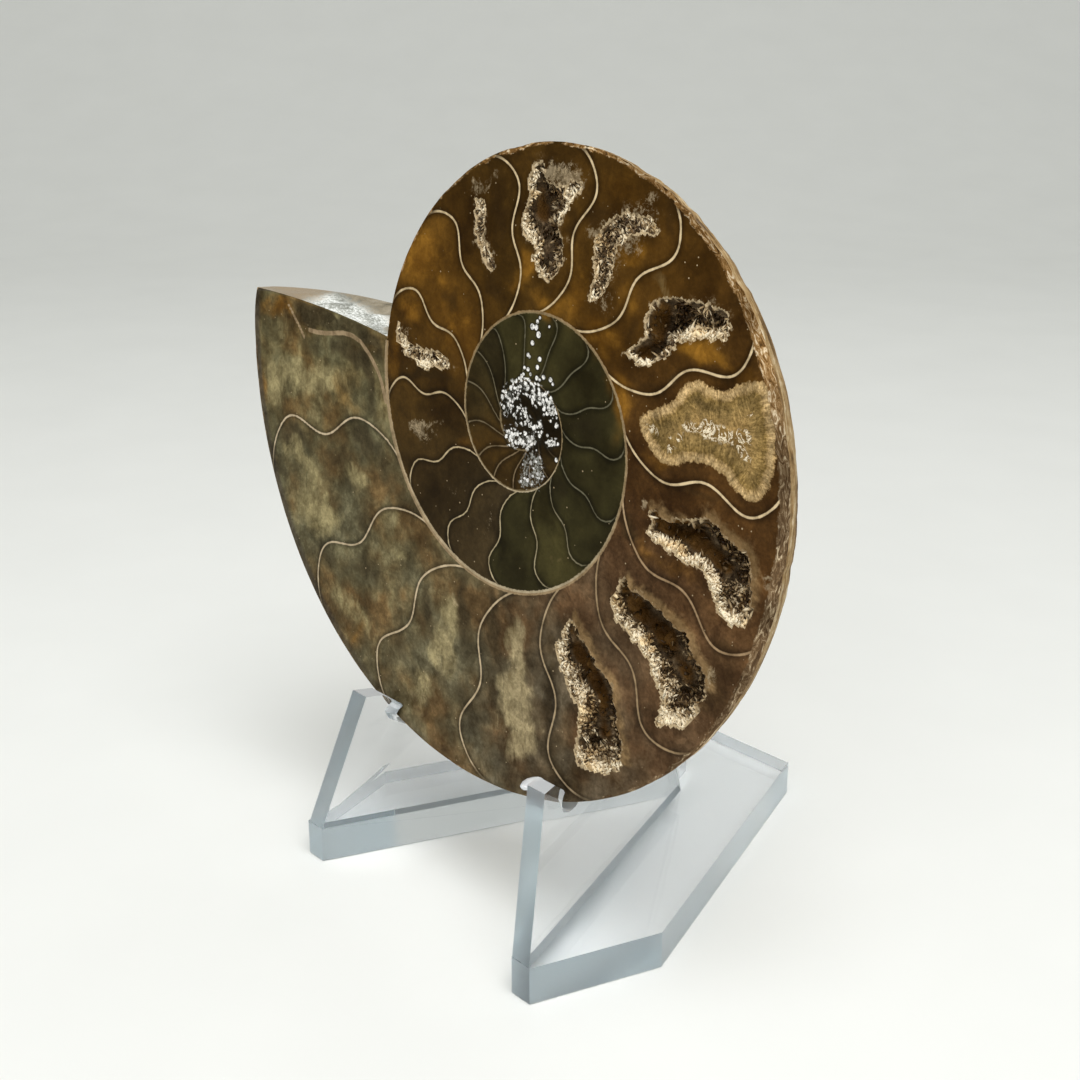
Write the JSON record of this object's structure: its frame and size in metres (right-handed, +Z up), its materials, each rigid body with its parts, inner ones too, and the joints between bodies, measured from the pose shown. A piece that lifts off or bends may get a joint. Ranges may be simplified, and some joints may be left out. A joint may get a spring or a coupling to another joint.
{
  "type": "ammonite fossil",
  "caption": "Cut and polished half of an ammonite with crystal-lined hollows in its chambers, leaning back in the notches of a clear moulded display stand.",
  "frame": {"origin": "centre of the overall bounding box, on the surface that the stand rests on", "axes": "+Z up, -Y towards the front, where the polished face looks, +X to the right as seen from the front"},
  "size_m": [0.0972, 0.0632, 0.0981],
  "materials": {
    "fossil": "polished brown calcite on the cut face, dull shell and rock behind",
    "crystals": "sparkling cream druse",
    "stand": "clear moulded acrylic"
  },
  "bodies": {
    "root": {"ammonite_half": "fossil", "crystals_top": "crystals", "crystals_upper": "crystals", "crystals_upper_right": "crystals", "crystals_right": "crystals", "crystals_lower_right": "crystals", "crystals_bottom": "crystals", "crystals_left": "crystals", "crystals_upper_left": "crystals", "display_stand": "stand"}
  },
  "joints": []
}
